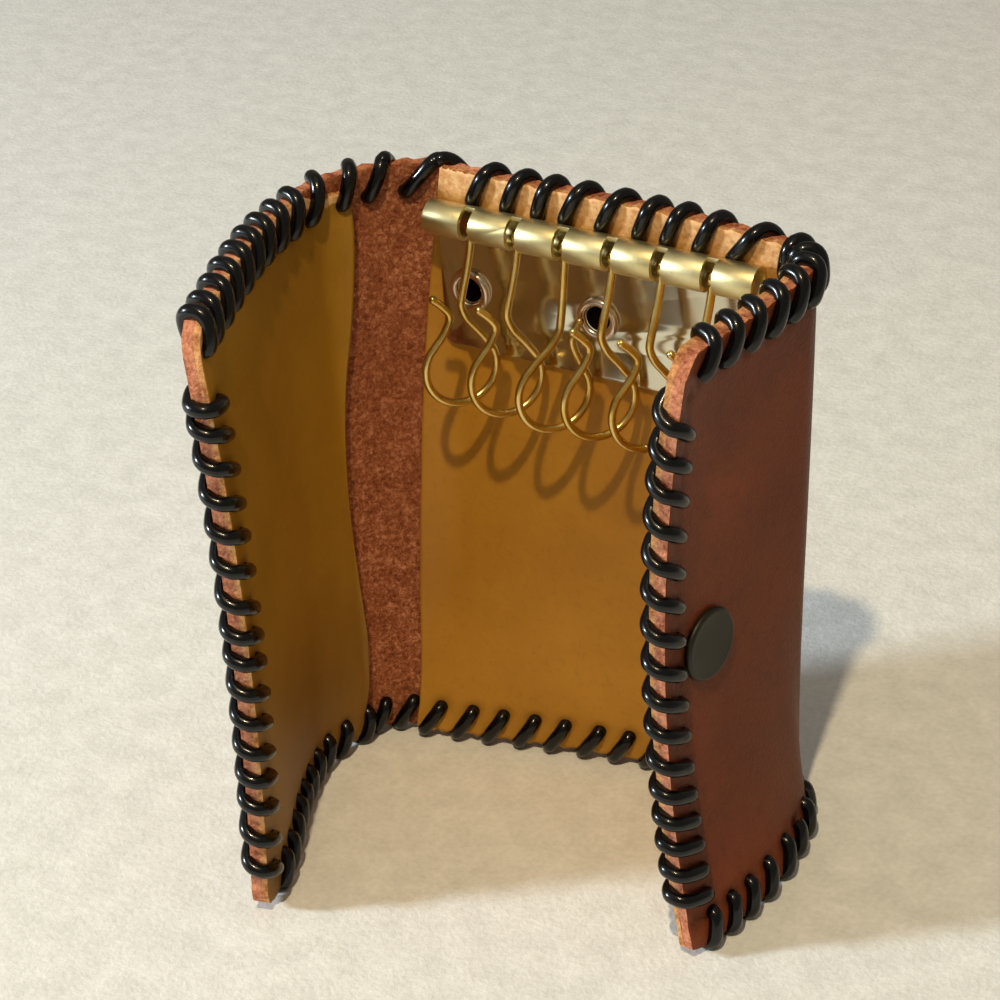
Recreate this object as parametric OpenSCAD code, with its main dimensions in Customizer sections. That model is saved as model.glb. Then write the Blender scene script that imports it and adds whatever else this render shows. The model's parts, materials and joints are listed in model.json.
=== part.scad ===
// Leather key case with two flaps, a six-hook key plate and a press stud.
// It stands on its short ends, flaps forward, as on a table. Millimetres, Z up.

/* [Leather] */
// Height of the three leather panels
panel_h = 106.5; // [96:0.5:118]
// Thickness of the outer cover leather
cover_t = 1.8; // [1.6:0.1:2.2]
// Thickness of the lining leather
lining_t = 1; // [0.8:0.1:1.2]

/* [Plan] */
// Width of the flat back panel between the folds
back_w = 61.5; // [60:0.5:66]
// Outer radius of the soft left fold
left_fold_r = 15; // [14:0.5:16]
// Angle by which the left flap leans in past square, from fold to free edge
left_lean = 15.5; // [12:0.5:18]
// Angle by which the left flap is itself bowed out between its fold and its free edge
left_bow = 28; // [20:1:30]
// Length by which the stud stands nearer to the left fold than the back panel is wide
stud_short = 17.9; // [17.5:0.1:19]
// Outer radius of the tight right fold
right_fold_r = 7; // [6.5:0.1:7.5]
// Angle by which the right flap leans in past square
right_lean = 7.5; // [6:0.5:11]
// Width of the side strip between the right fold and the turn of the flap
side_w = 19.5; // [19:0.1:20.5]

/* [Closing] */
// Distance that the left flap lies behind the back panel when it is open flat
open_step = 2; // [1:0.5:3]
// Free space between the hooks and the lacing of the closed left flap
flap_room = 0.4; // [0.3:0.1:0.8]
// Free space between the closed flaps, lacing to lacing
shut_gap = 0.7; // [0.5:0.1:1]
// Gap that opens between the back panel and the side strip when the case lies flat
flat_gap = 0.5; // [0.4:0.1:1]

/* [Lacing] */
// Diameter of the round lacing cord
lace_d = 2; // [1.8:0.1:2.2]
// Depth to which the pulled cord beds into the leather
lace_sink = 0.4; // [0.2:0.05:0.5]
// Distance of the punched holes from the edge
hole_in = 3.9; // [3.6:0.1:4]
// Extra diameter of a punched hole over the cord
hole_slack = 0.2; // [0.1:0.05:0.4]
// Usual distance from one stitch to the next
stitch_pitch = 5.1; // [4.6:0.1:5.6]
// Distance from one stitch to the next round the tight right fold
tight_pitch = 3.4; // [3.2:0.1:4.4]
// Bare length left at each corner of the flaps
corner_bare = 6.6; // [6.4:0.1:8]
// Length cut off slantwise at each corner of the flaps
corner_cut = 3; // [1:0.5:4]

/* [Key plate] */
// Thickness of the key plate's sheet metal
sheet_t = 0.8; // [0.6:0.1:0.9]
// Outer diameter of the rolled tube along its top
tube_d = 5.8; // [5.6:0.1:6.2]
// Distance by which the plate's half length falls short of the back panel's
plate_end_in = 1.6; // [1.5:0.1:2.4]
// Width of each of the six slots
slot_w = 1.9; // [1.7:0.05:1.9]
// Distance from the middle of the back panel to the middle of the plate, to the left
plate_off = 1; // [0:0.5:1.5]
// Height of the plate below the tube's axis
plate_drop = 24; // [21:0.5:27]
// Distance of the tube's axis below the top of the leather
tube_below = 7.2; // [7.2:0.1:9]
// Distance of the eyelets below the tube's axis
eyelet_drop = 13.3; // [11:0.1:15]
// Distance of the outer eyelets from the plate's ends
eyelet_in = 5.35; // [4.5:0.05:7]
// Inner diameter of an eyelet
eyelet_bore = 3.4; // [3:0.1:3.6]
// Outer diameter of an eyelet's rolled flange
eyelet_flange = 5.8; // [5.4:0.1:6.2]

/* [Hooks] */
// Diameter of the hook wire
wire_d = 1.2; // [1:0.05:1.3]
// Diameter of the upset head that sits in the tube
head_d = 2.6; // [2.4:0.1:3]
// Inner diameter of the key loop
loop_bore = 10.2; // [9.6:0.1:10.6]
// Distance from the tube's axis to the middle of the loop
loop_drop = 24; // [23:0.5:26]
// Free space between one turned loop and the next, so that each hook swings by itself
loop_gap = 0.4; // [0.3:0.05:0.6]
// Free space between the turned loops and the plate behind them
hook_clear = 0.5; // [0.4:0.1:0.7]
// Greatest angle to which the hooks swing up from there
hook_swing = 115; // [90:5:125]

/* [Press stud] */
// Diameter of the cap
cap_d = 12; // [11:0.5:12.5]
// Thickness of the cap
cap_t = 1.3; // [1.1:0.1:1.6]
// Distance of the cap's centre from the right flap's free edge
cap_in = 10.3; // [10:0.1:11]
// Diameter of the socket
socket_d = 9.6; // [9:0.1:10]
// Depth of the socket
socket_t = 2.6; // [2.4:0.1:2.8]
// Diameter of the stud's bulbous head
stud_d = 4.2; // [4:0.1:4.4]
// Free space between the stud's flange and the lacing of the left flap's edge
stud_room = 0.5; // [0.4:0.1:1]

/* [Hidden] */
// Overrun of every cut, and the clearance of parts that only slide past each other
over = 1;
slip = 0.05;
stack_t = cover_t + lining_t;
lace_r = lace_d / 2;
// How far the cord stands proud of the leather, and the flat that it is pressed to underneath
lace_proud = lace_d - lace_sink;
stand_flat = lace_d / 10;
base_z = lace_proud - stand_flat;
top_z = base_z + panel_h;

// Key plate
tube_r = tube_d / 2;
tube_y = -(stack_t + tube_r);
tube_z = top_z - tube_below;
hooks = 6;
bar_w = back_w - 2 * plate_end_in;
knuckle_w = (bar_w - hooks * slot_w) / (hooks + 1);
pitch = knuckle_w + slot_w;
eyelet_reach = bar_w / 2 - eyelet_in;
slot_back = 12;
plate_corner_r = 1.5;
eyelet_lip = 0.6;
eyelet_wall = 0.45;
eyelet_roll = eyelet_lip / 2;

// Hook, in its own plane: shares of the loop's centre radius, right and down from the tube's axis
wire_r = wire_d / 2;
bend_wire_r = wire_r + 0.2 * slip;
tip_d = 1.15 * wire_d;
loop_r = (loop_bore + wire_d) / 2;
head_drop = 0.5;
bend_r = 1.4 * wire_d;
shank_end_share = [-0.19, -2.05];
neck_share = [-0.42, -2.55];
tip_share = [-0.95, -2.05];
back_tip_share = [-0.5, -2.1];
// Each loop stands turned until it clears the next one, and leans out until it clears the plate
hook_turn = acos((pitch - wire_d - loop_gap) / (2 * loop_r));
loop_half_y = loop_r * sin(hook_turn) + wire_r;
hook_lean = asin((loop_half_y + hook_clear + sheet_t - tube_r) / loop_drop);
hook_fore_y = tube_y - loop_drop * sin(hook_lean) - loop_half_y;

// The plan runs from the left free edge round to the right free edge, along mid-thickness
left_turn = 90 + left_lean;
right_turn = 90 + right_lean;
left_mid_r = left_fold_r - stack_t / 2;
right_mid_r = right_fold_r - stack_t / 2;
fold_turn = left_turn - left_bow / 2;
left_arc = left_mid_r * fold_turn * PI / 180;
right_arc = right_mid_r * right_turn * PI / 180;
left_centre = [-back_w / 2, -left_fold_r];
right_centre = [back_w / 2, -right_fold_r];

function along(a) = [cos(a), sin(a)];
function outward(a) = [-sin(a), cos(a)];
function turned(v, a) = [v.x * cos(a) - v.y * sin(a), v.x * sin(a) + v.y * cos(a)];

// The left flap, from its free edge by way of the stud to the fold
stud_flange_d = 8;
stud_s = stud_flange_d / 2 + stud_room + lace_r + hole_in;
left_flap_w = back_w - stud_short + stud_s;
bow_r = left_flap_w / (left_bow * PI / 180);
bow_centre = left_centre + (left_mid_r - bow_r) * outward(fold_turn);

// The left flap closes parallel to the back, over the hooks, and opens flat one step behind it
left_shut_y = hook_fore_y - flap_room - lace_proud - stack_t;
left_hinge_y = (left_shut_y + open_step) / 2;
left_hinge_h = (open_step - left_shut_y) / 2;
left_edge = left_centre + left_fold_r * outward(fold_turn);
left_out = outward(left_turn);
left_hinge_x = left_edge.x - (left_hinge_h - (left_edge.y - left_hinge_y) * left_out.y) / left_out.x;
left_hinge = [left_hinge_x, left_hinge_y];
left_close = 180 - left_turn;
stud_turn = left_turn + left_bow * (0.5 - stud_s / left_flap_w);
stud_foot = bow_centre + (bow_r + stack_t / 2) * outward(stud_turn);
stud_shut = left_hinge + turned(stud_foot - left_hinge, left_close);
stud_shut_turn = stud_turn + left_close;

// The side strip opens level with the back panel about the right fold's bend line
side_hinge = right_centre + flat_gap / 2 * [1, sin(right_turn) / (1 - cos(right_turn))];
turn_hinge = right_centre + (right_fold_r - stack_t) * outward(-right_turn) + side_w * along(-right_turn);

// Closed, the right flap lies along the left one at the stud, and ends beyond its cap
snap_room = 2 * lace_proud + shut_gap;
turn_arm = turn_hinge - side_hinge;
snap_way = stud_shut + snap_room * outward(stud_shut_turn) - side_hinge;
snap_along = snap_way * along(stud_shut_turn);
cap_from_turn = snap_along - sqrt(pow(snap_along, 2) - snap_way * snap_way + turn_arm * turn_arm);
shut_arm = snap_way - cap_from_turn * along(stud_shut_turn);
right_flap_w = cap_from_turn + cap_in;
side_close = atan2(turn_arm.y, turn_arm.x) - atan2(shut_arm.y, shut_arm.x);
flap_close = 360 - right_turn - side_close - stud_shut_turn;

// Press stud
snap_slack = 0.3;
socket_floor = 0.6;
snap_flange_t = 0.6;
snap_post_d = 3;
snap_z = base_z + panel_h / 2;
stud_h = snap_room - socket_floor - snap_slack;
stud_neck_d = stud_d - 0.6 * snap_flange_t;
socket_bore_d = stud_d + 2 * snap_slack;
cap_edge_r = cap_t / 2;

fold_a = left_flap_w;
back_a = fold_a + left_arc;
back_b = back_a + back_w;
fold_b = back_b + right_arc;
turn_b = fold_b + side_w;
plan_end = turn_b + right_flap_w;
cap_s = plan_end - cap_in;

// Heading of the plan at a distance s along it; the outside of the case is on its left
function heading(s) =
    s < fold_a ? fold_turn + left_bow * (fold_a - s) / left_flap_w
    : s < back_a ? fold_turn * (back_a - s) / left_arc
    : s < back_b ? 0
    : s < fold_b ? -right_turn * (s - back_b) / right_arc
    : -right_turn;

// Point of the plan at s, moved outwards by off
function plan(s, off = 0) =
    s < fold_a ? bow_centre + (bow_r + off) * outward(heading(s))
    : s < back_a ? left_centre + (left_mid_r + off) * outward(heading(s))
    : s < back_b ? [s - back_a - back_w / 2, off - stack_t / 2]
    : s < fold_b ? right_centre + (right_mid_r + off) * outward(heading(s))
    : right_centre + (right_mid_r + off) * outward(-right_turn) + (s - fold_b) * along(-right_turn);

// Left pocket lining laps onto the fold; the back lining starts just inside the back panel
lap_turn = 40;
lining_gap = 1;
bare_a = fold_a + left_arc * lap_turn / fold_turn;
bare_b = back_a + lining_gap;
round_fn = 48;
lace_sides = 6;

// The bounding box is centred over the origin
left_most = left_centre.x - left_fold_r - lace_proud;
right_most = right_centre.x + right_fold_r + lace_proud;
rear_most = lace_proud;
fore_most = plan(0, 0).y - lace_proud;
shift = [-(left_most + right_most) / 2, -(rear_most + fore_most) / 2, 0];

cover_colour = "#64341f";
lining_colour = "#9b661e";
lace_colour = "#15151a";
brass_colour = "#b9ab72";
wire_colour = "#af965a";
snap_colour = "#2b2b26";

// Stretches of the edges that each leather piece carries: start, end and usual pitch
left_row = [corner_bare, fold_a, stitch_pitch];
fold_row = [fold_a, back_a, stitch_pitch];
back_row = [back_a, back_b, stitch_pitch];
right_fold_row = [back_b, fold_b, tight_pitch];
side_row = [fold_b, turn_b, stitch_pitch];
right_row = [turn_b, plan_end - corner_bare, stitch_pitch];
edge_row = [base_z + corner_bare, top_z - corner_bare, stitch_pitch];

// Number and places of the stitches on a stretch
function stitch_count(row) = max(2, round((row[1] - row[0]) / row[2]));
function stitches(row) =
    let (n = stitch_count(row), p = (row[1] - row[0]) / n)
    [for (i = [0:n - 1]) row[0] + (i + 0.5) * p];

// A body placed on the plan at s: x runs along the case, y outwards, z up
module on_plan(s) {
    p = plan(s);
    translate([p.x, p.y, 0]) rotate(heading(s)) children();
}

// Holes for the stitches of the top and bottom rows of one stretch
module row_holes(row) {
    for (s = stitches(row), z = [base_z + hole_in, top_z - hole_in])
        on_plan(s) translate([0, 0, z]) punch();
}

module punch(d = lace_d + hole_slack) {
    rotate([90, 0, 0]) cylinder(h = stack_t + 2 * over, d = d, center = true, $fn = round_fn);
}

// Holes down a free edge, at the given place of the edge in the plan
module edge_holes(s) {
    for (z = stitches(edge_row)) on_plan(s) translate([0, 0, z]) punch();
}

// Flat leather between two places of the plan, from depth a to depth b below the outer face
module flat_leather(s0, s1, a, b) {
    on_plan(s0) translate([0, stack_t / 2 - b, base_z]) cube([s1 - s0, b - a, panel_h]);
}

// Triangles that cut off the two corners of a free edge, whose leather lies on the given side of it
module corner_cuts(s, side) {
    reach = corner_cut + over;
    for (top = [0, 1])
        on_plan(s) translate([0, 0, top ? top_z : base_z]) rotate([90, 0, 0])
            linear_extrude(2 * (stack_t + over), center = true)
                polygon([for (p = [[-over, -over], [reach, -over], [-over, reach]])
                    [side * p.x, top ? -p.y : p.y]]);
}

// Bent leather round a fold's centre, over the headings a0 to a1
module bent_leather(centre, r, a, b, a0, a1) {
    translate([centre.x, centre.y, base_z]) rotate(90 + a0) rotate_extrude(angle = a1 - a0, $fn = round_fn)
        translate([r - b, 0]) square([b - a, panel_h]);
}

// Leather of the bowed left flap, from depth a to depth b below its outer face, its free corners cut off
module bowed_leather(a, b) {
    difference() {
        bent_leather(bow_centre, bow_r + stack_t / 2, a, b, fold_turn, fold_turn + left_bow);
        corner_cuts(0, 1);
    }
}

// Seat of the stud's post flange, between cover and lining
module flange_seat() {
    on_plan(stud_s) translate([0, stack_t / 2 - cover_t - snap_flange_t - slip, snap_z]) rotate([-90, 0, 0])
        cylinder(h = snap_flange_t + 3 * slip, d = stud_flange_d + 2 * slip, $fn = round_fn);
}

module left_flap_cover() {
    color(cover_colour) difference() {
        bowed_leather(0, cover_t);
        row_holes(left_row);
        edge_holes(hole_in);
        on_plan(stud_s) translate([0, 0, snap_z]) punch(snap_post_d);
        flange_seat();
    }
}

module left_fold_cover() {
    color(cover_colour) difference() {
        bent_leather(left_centre, left_fold_r, 0, cover_t, 0, fold_turn);
        row_holes(fold_row);
    }
}

module back_cover() {
    color(cover_colour) difference() {
        flat_leather(back_a, back_b, 0, cover_t);
        row_holes(back_row);
        eyelet_places() rotate([90, 0, 0])
            cylinder(h = 2 * (stack_t + over), d = eyelet_bore + 2 * eyelet_wall, center = true, $fn = round_fn);
    }
}

module right_fold_cover() {
    color(cover_colour) difference() {
        bent_leather(right_centre, right_fold_r, 0, cover_t, -right_turn, 0);
        row_holes(right_fold_row);
    }
}

module right_side_cover() {
    color(cover_colour) difference() {
        flat_leather(fold_b, turn_b, 0, cover_t);
        row_holes(side_row);
    }
}

module right_flap_cover() {
    color(cover_colour) difference() {
        flat_leather(turn_b, plan_end, 0, cover_t);
        corner_cuts(plan_end, -1);
        row_holes(right_row);
        edge_holes(plan_end - hole_in);
        on_plan(cap_s) translate([0, 0, snap_z]) punch(snap_post_d);
    }
}

module left_pocket_lining() {
    color(lining_colour) difference() {
        bowed_leather(cover_t, stack_t);
        row_holes(left_row);
        edge_holes(hole_in);
        flange_seat();
    }
}

module left_fold_lining() {
    color(lining_colour) difference() {
        bent_leather(left_centre, left_fold_r, cover_t, stack_t, fold_turn - lap_turn, fold_turn);
        row_holes(fold_row);
    }
}

module back_lining() {
    color(lining_colour) difference() {
        flat_leather(back_a + lining_gap, back_b, cover_t, stack_t);
        row_holes(back_row);
        eyelet_places() rotate([90, 0, 0])
            cylinder(h = 2 * (stack_t + over), d = eyelet_bore + 2 * eyelet_wall, center = true, $fn = round_fn);
    }
}

module right_fold_lining() {
    color(lining_colour) difference() {
        bent_leather(right_centre, right_fold_r, cover_t, stack_t, -right_turn, 0);
        row_holes(right_fold_row);
    }
}

module right_side_lining() {
    color(lining_colour) difference() {
        flat_leather(fold_b, turn_b, cover_t, stack_t);
        row_holes(side_row);
    }
}

module right_flap_lining() {
    color(lining_colour) difference() {
        flat_leather(turn_b, plan_end, cover_t, stack_t);
        corner_cuts(plan_end, -1);
        row_holes(right_row);
        edge_holes(plan_end - hole_in);
        on_plan(cap_s) translate([0, 0, snap_z]) punch(snap_post_d);
    }
}

// One turn of whip lacing as shares: forward of the pitch, in from the edge, out from mid-thickness
lace_off = stack_t / 2 + lace_r - lace_sink;
lace_edge = lace_proud - lace_r;
lace_end_gap = 0.1;
turn_shares = [[0, 1, 0], [0, 0.95, -0.93], [0.06, 0.2, -1], [0.26, -0.6, -0.62], [0.44, -1, -0.2],
    [0.56, -1, 0.2], [0.74, -0.6, 0.62], [0.94, 0.2, 1], [1, 0.95, 0.93]];
function in_from_edge(f) = f < 0 ? f * lace_edge : f * hole_in;

// On the bare stretch of the left fold the cord beds into the cover, one lining lower
function lace_depth(s, f) =
    f < 0 && s > bare_a && s < bare_b ? f * (lace_off - lining_t) : f * lace_off;

// Route of a row: along, in from the edge, out from mid-thickness. The last turn is tucked short
function lace_route(row, bare = false) =
    let (places = stitches(row), p = places[1] - places[0], n = len(places),
        tuck = p / 2 - lace_r - lace_end_gap)
    [for (i = [0:n - 1], q = turn_shares)
        let (s = places[i] + q[0] * (i < n - 1 ? p : tuck))
        [s, in_from_edge(q[1]), bare ? lace_depth(s, q[2]) : q[2] * lace_off]];

// The same route in space, along the top, the bottom or a free edge
function top_route(row) = [for (q = lace_route(row, true))
    let (p = plan(q[0], q[2])) [p.x, p.y, top_z - q[1]]];
function bottom_route(row) = [for (q = lace_route(row, true))
    let (p = plan(q[0], q[2])) [p.x, p.y, base_z + q[1]]];
function left_edge_route() = [for (q = lace_route(edge_row))
    let (p = plan(q[1], q[2])) [p.x, p.y, q[0]]];
function right_edge_route() = [for (q = lace_route(edge_row))
    let (p = plan(plan_end - q[1], q[2])) [p.x, p.y, q[0]]];
function row_headings(row) = [for (q = lace_route(row, true))
    let (a = along(heading(q[0]))) [a.x, a.y, 0]];
function edge_headings() = [for (q = lace_route(edge_row)) [0, 0, 1]];

function unit(v) = v / norm(v);

// Round cord along a route. Each ring keeps one axis on the row's own direction, so it never twists
module cord(route, headings) {
    n = len(route);
    rings = [for (i = [0:n - 1])
        let (
            t = unit(route[min(i + 1, n - 1)] - route[max(i - 1, 0)]),
            a = unit(headings[i] - (headings[i] * t) * t),
            b = cross(t, a)
        )
        for (k = [0:lace_sides - 1])
            let (
                w = 360 * k / lace_sides,
                p = route[i] + lace_r * (cos(w) * a + sin(w) * b)
            )
            [p.x, p.y, max(p.z, 0)]];
    walls = [for (i = [0:n - 2], k = [0:lace_sides - 1])
        let (a = i * lace_sides + k, b = i * lace_sides + (k + 1) % lace_sides)
        each [[a, b + lace_sides, b], [a, a + lace_sides, b + lace_sides]]];
    ends = [[for (k = [0:lace_sides - 1]) k], [for (k = [lace_sides - 1:-1:0]) (n - 1) * lace_sides + k]];
    polyhedron(points = rings, faces = concat(walls, ends), convexity = 10);
}

module left_top_lacing() { color(lace_colour) cord(top_route(left_row), row_headings(left_row)); }
module left_bottom_lacing() { color(lace_colour) cord(bottom_route(left_row), row_headings(left_row)); }
module left_edge_lacing() { color(lace_colour) cord(left_edge_route(), edge_headings()); }
module left_fold_lacing() {
    color(lace_colour) {
        cord(top_route(fold_row), row_headings(fold_row));
        cord(bottom_route(fold_row), row_headings(fold_row));
    }
}
module back_top_lacing() { color(lace_colour) cord(top_route(back_row), row_headings(back_row)); }
module back_bottom_lacing() { color(lace_colour) cord(bottom_route(back_row), row_headings(back_row)); }
module right_fold_lacing() {
    color(lace_colour) {
        cord(top_route(right_fold_row), row_headings(right_fold_row));
        cord(bottom_route(right_fold_row), row_headings(right_fold_row));
    }
}
module side_top_lacing() { color(lace_colour) cord(top_route(side_row), row_headings(side_row)); }
module side_bottom_lacing() { color(lace_colour) cord(bottom_route(side_row), row_headings(side_row)); }
module right_top_lacing() { color(lace_colour) cord(top_route(right_row), row_headings(right_row)); }
module right_bottom_lacing() { color(lace_colour) cord(bottom_route(right_row), row_headings(right_row)); }
module right_edge_lacing() { color(lace_colour) cord(right_edge_route(), edge_headings()); }

// Places of the three eyelets on the back, at the leather's mid-thickness
module eyelet_places() {
    for (x = [-eyelet_reach, 0, eyelet_reach])
        translate([x - plate_off, -stack_t / 2, tube_z - eyelet_drop]) children();
}

// Sheet rolled into a tube along its top, slotted for the hooks and pierced for the eyelets
module key_plate() {
    color(brass_colour) difference() {
        union() {
            translate([-plate_off - bar_w / 2, tube_y, tube_z]) rotate([90, 0, 90])
                cylinder(h = bar_w, d = tube_d, $fn = round_fn);
            translate([-plate_off, -stack_t, 0]) rotate([90, 0, 0]) linear_extrude(sheet_t) plate_outline();
        }
        translate([-plate_off - bar_w / 2 - over, tube_y, tube_z]) rotate([90, 0, 90])
            cylinder(h = bar_w + 2 * over, d = tube_d - 2 * sheet_t, $fn = round_fn);
        for (i = [0:hooks - 1]) slot(slot_x(i));
        eyelet_places() rotate([90, 0, 0])
            cylinder(h = 2 * (stack_t + sheet_t + over), d = eyelet_bore + 2 * eyelet_wall, center = true,
                $fn = round_fn);
    }
}

function slot_x(i) = -plate_off - bar_w / 2 + knuckle_w + slot_w / 2 + i * pitch;

// Front of the tube cut away from its top, round the front, to just behind its lowest line
module slot(x) {
    far = tube_d;
    translate([x - slot_w / 2, tube_y, tube_z]) rotate([90, 0, 90]) linear_extrude(slot_w)
        polygon([[0, 0], [0, far], [-far, far], [-far, -far], [far * tan(slot_back), -far]]);
}

module plate_outline() {
    r = plate_corner_r;
    w = bar_w / 2;
    low = tube_z - plate_drop;
    union() {
        translate([-w, low + r]) square([2 * w, plate_drop - r]);
        translate([-w + r, low]) square([2 * (w - r), 2 * r]);
        for (x = [-w + r, w - r]) translate([x, low + r]) circle(r, $fn = round_fn);
    }
}

// Eyelets clenched through plate, lining and cover, with a rolled flange at each face
module plate_eyelets() {
    bore_r = eyelet_bore / 2;
    depth = stack_t + sheet_t;
    color(brass_colour) eyelet_places() translate([0, stack_t / 2, 0]) rotate([90, 0, 0])
        rotate_extrude($fn = round_fn) {
            translate([bore_r, -eyelet_lip]) square([eyelet_wall, depth + 2 * eyelet_lip]);
            for (y = [-eyelet_lip, depth]) translate([bore_r + eyelet_wall, y])
                square([eyelet_flange / 2 - eyelet_roll - bore_r - eyelet_wall, eyelet_lip]);
            for (y = [-eyelet_roll, depth + eyelet_roll])
                translate([eyelet_flange / 2 - eyelet_roll, y]) circle(eyelet_roll, $fn = round_fn);
        }
}

// Straight wire between two points of the hook's plane, let into the bends at its ends
module wire(a, b) {
    d = b - a;
    p = a - slip * unit(d);
    translate([p.x, 0, p.y]) rotate([0, atan2(d.x, d.y), 0])
        cylinder(h = norm(d) + 2 * slip, d = wire_d, $fn = round_fn);
}

// Bent wire round a centre in the hook's plane, from angle a0 over the angle turn
module bent_wire(centre, r, a0, turn) {
    translate([centre.x, 0, centre.y]) rotate([90, 0, 0]) rotate(a0)
        rotate_extrude(angle = turn, $fn = round_fn) translate([r, 0]) circle(bend_wire_r, $fn = round_fn);
}

// Tangent point on the loop for a line from p; side 1 leaves it on the right, -1 on the left
function touch(p, centre, r, side) =
    let (d = p - centre, a = atan2(d.y, d.x) - side * acos(r / norm(d))) centre + r * along(a);

// Rounded corner at q between lines to p and n: its two ends, its centre and its sweep
function corner(p, q, n, r) =
    let (
        u = unit(p - q), v = unit(n - q),
        half = acos(u * v) / 2,
        back = r / tan(half),
        centre = q + unit(u + v) * r / sin(half),
        a = q + back * u, b = q + back * v,
        a0 = atan2(a.y - centre.y, a.x - centre.x),
        a1 = atan2(b.y - centre.y, b.x - centre.x),
        sweep = (a1 - a0 + 540) % 360 - 180
    )
    [a, b, centre, a0, sweep];

// One bent wire hook with its head: shank, key loop, neck and flared tip
module hook_wire(back_to_front) {
    centre = [0, -loop_drop];
    top = [0, -head_drop];
    knee = shank_end_share * loop_r;
    neck = neck_share * loop_r;
    tip = (back_to_front ? back_tip_share : tip_share) * loop_r;
    start = touch(knee, centre, loop_r, 1);
    end = touch(neck, centre, loop_r, -1);
    c1 = corner(top, knee, start, bend_r);
    c2 = corner(end, neck, tip, bend_r);
    a0 = atan2(start.y - centre.y, start.x - centre.x);
    a1 = atan2(end.y - centre.y, end.x - centre.x);
    union() {
        translate([top.x, 0, top.y]) sphere(d = head_d, $fn = round_fn);
        wire(top, c1[0]);
        bent_wire(c1[2], bend_r, c1[3], c1[4]);
        wire(c1[1], start);
        bent_wire(centre, loop_r, a0, (a1 - a0 + 720) % 360 - 360);
        wire(end, c2[0]);
        bent_wire(c2[2], bend_r, c2[3], c2[4]);
        wire(c2[1], tip);
        translate([tip.x, 0, tip.y]) sphere(d = tip_d, $fn = round_fn);
    }
}

// Hook i of the row in its slot, turned on its shank and leaning out; the third hangs back to front
module hook(i) {
    back_to_front = i == 2;
    color(wire_colour) translate([slot_x(i), tube_y, tube_z]) rotate([-hook_lean, 0, 0])
        rotate(hook_turn + (back_to_front ? 180 : 0)) hook_wire(back_to_front);
}

// Face of the right or left flap at s: z of the child runs outwards from the outer face
module on_face(s) {
    on_plan(s) translate([0, stack_t / 2, snap_z]) rotate([-90, 0, 0]) children();
}

// Flat cap with a rounded rim, its post through the leather
module snap_cap() {
    r = cap_d / 2 - cap_edge_r;
    color(snap_colour) on_face(cap_s) union() {
        rotate_extrude($fn = round_fn) {
            square([r, cap_t]);
            translate([r, cap_edge_r]) intersection() {
                circle(cap_edge_r, $fn = round_fn);
                translate([0, -cap_edge_r]) square([cap_edge_r, cap_t]);
            }
        }
        translate([0, 0, -stack_t]) cylinder(h = stack_t + slip, d = snap_post_d - 2 * slip, $fn = round_fn);
    }
}

// Socket riveted to the post inside the right flap, its mouth towards the left flap's stud
module snap_socket() {
    r = socket_d / 2;
    b = socket_bore_d / 2;
    lip = snap_slack;
    color(snap_colour) on_face(cap_s) translate([0, 0, -stack_t]) rotate([180, 0, 0])
        rotate_extrude($fn = round_fn)
            polygon([[0, 0], [r, 0], [r, socket_t - lip], [r - lip, socket_t], [b + lip, socket_t],
                [b, socket_t - lip], [b, socket_floor], [0, socket_floor]]);
}

// Stud on the left flap's outer face: flange, waist and bulbous head
module snap_stud() {
    f = stud_flange_d / 2;
    n = stud_neck_d / 2;
    h = stud_d / 2;
    bulge = (stud_h - snap_flange_t) / 3;
    color(snap_colour) on_face(stud_s) rotate_extrude($fn = round_fn)
        polygon([[0, 0], [f, 0], [f, snap_flange_t / 2], [f - snap_flange_t / 2, snap_flange_t],
            [n, snap_flange_t], [n, snap_flange_t + bulge], [h, snap_flange_t + 1.6 * bulge],
            [h, snap_flange_t + 2.2 * bulge], [n, stud_h], [0, stud_h]]);
}

// Flanged post that holds the stud, hidden under the pocket lining
module snap_stud_post() {
    color(snap_colour) on_face(stud_s) union() {
        translate([0, 0, -cover_t - snap_flange_t]) cylinder(h = snap_flange_t, d = stud_flange_d, $fn = round_fn);
        translate([0, 0, -cover_t - slip]) cylinder(h = cover_t + slip, d = snap_post_d - 2 * slip, $fn = round_fn);
    }
}

module placed() { translate(shift) children(); }

placed() left_flap_cover();
placed() left_fold_cover();
placed() back_cover();
placed() right_fold_cover();
placed() right_side_cover();
placed() right_flap_cover();
placed() left_pocket_lining();
placed() left_fold_lining();
placed() back_lining();
placed() right_fold_lining();
placed() right_side_lining();
placed() right_flap_lining();
placed() left_top_lacing();
placed() left_bottom_lacing();
placed() left_edge_lacing();
placed() left_fold_lacing();
placed() back_top_lacing();
placed() back_bottom_lacing();
placed() right_fold_lacing();
placed() side_top_lacing();
placed() side_bottom_lacing();
placed() right_top_lacing();
placed() right_bottom_lacing();
placed() right_edge_lacing();
placed() key_plate();
placed() plate_eyelets();
placed() hook(0);  // hook_1
placed() hook(1);  // hook_2
placed() hook(2);  // hook_3
placed() hook(3);  // hook_4
placed() hook(4);  // hook_5
placed() hook(5);  // hook_6
placed() snap_cap();
placed() snap_socket();
placed() snap_stud();
placed() snap_stud_post();
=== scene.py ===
import json
import math

import bmesh
import bpy
import numpy as np
from mathutils import Matrix, Vector


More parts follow.
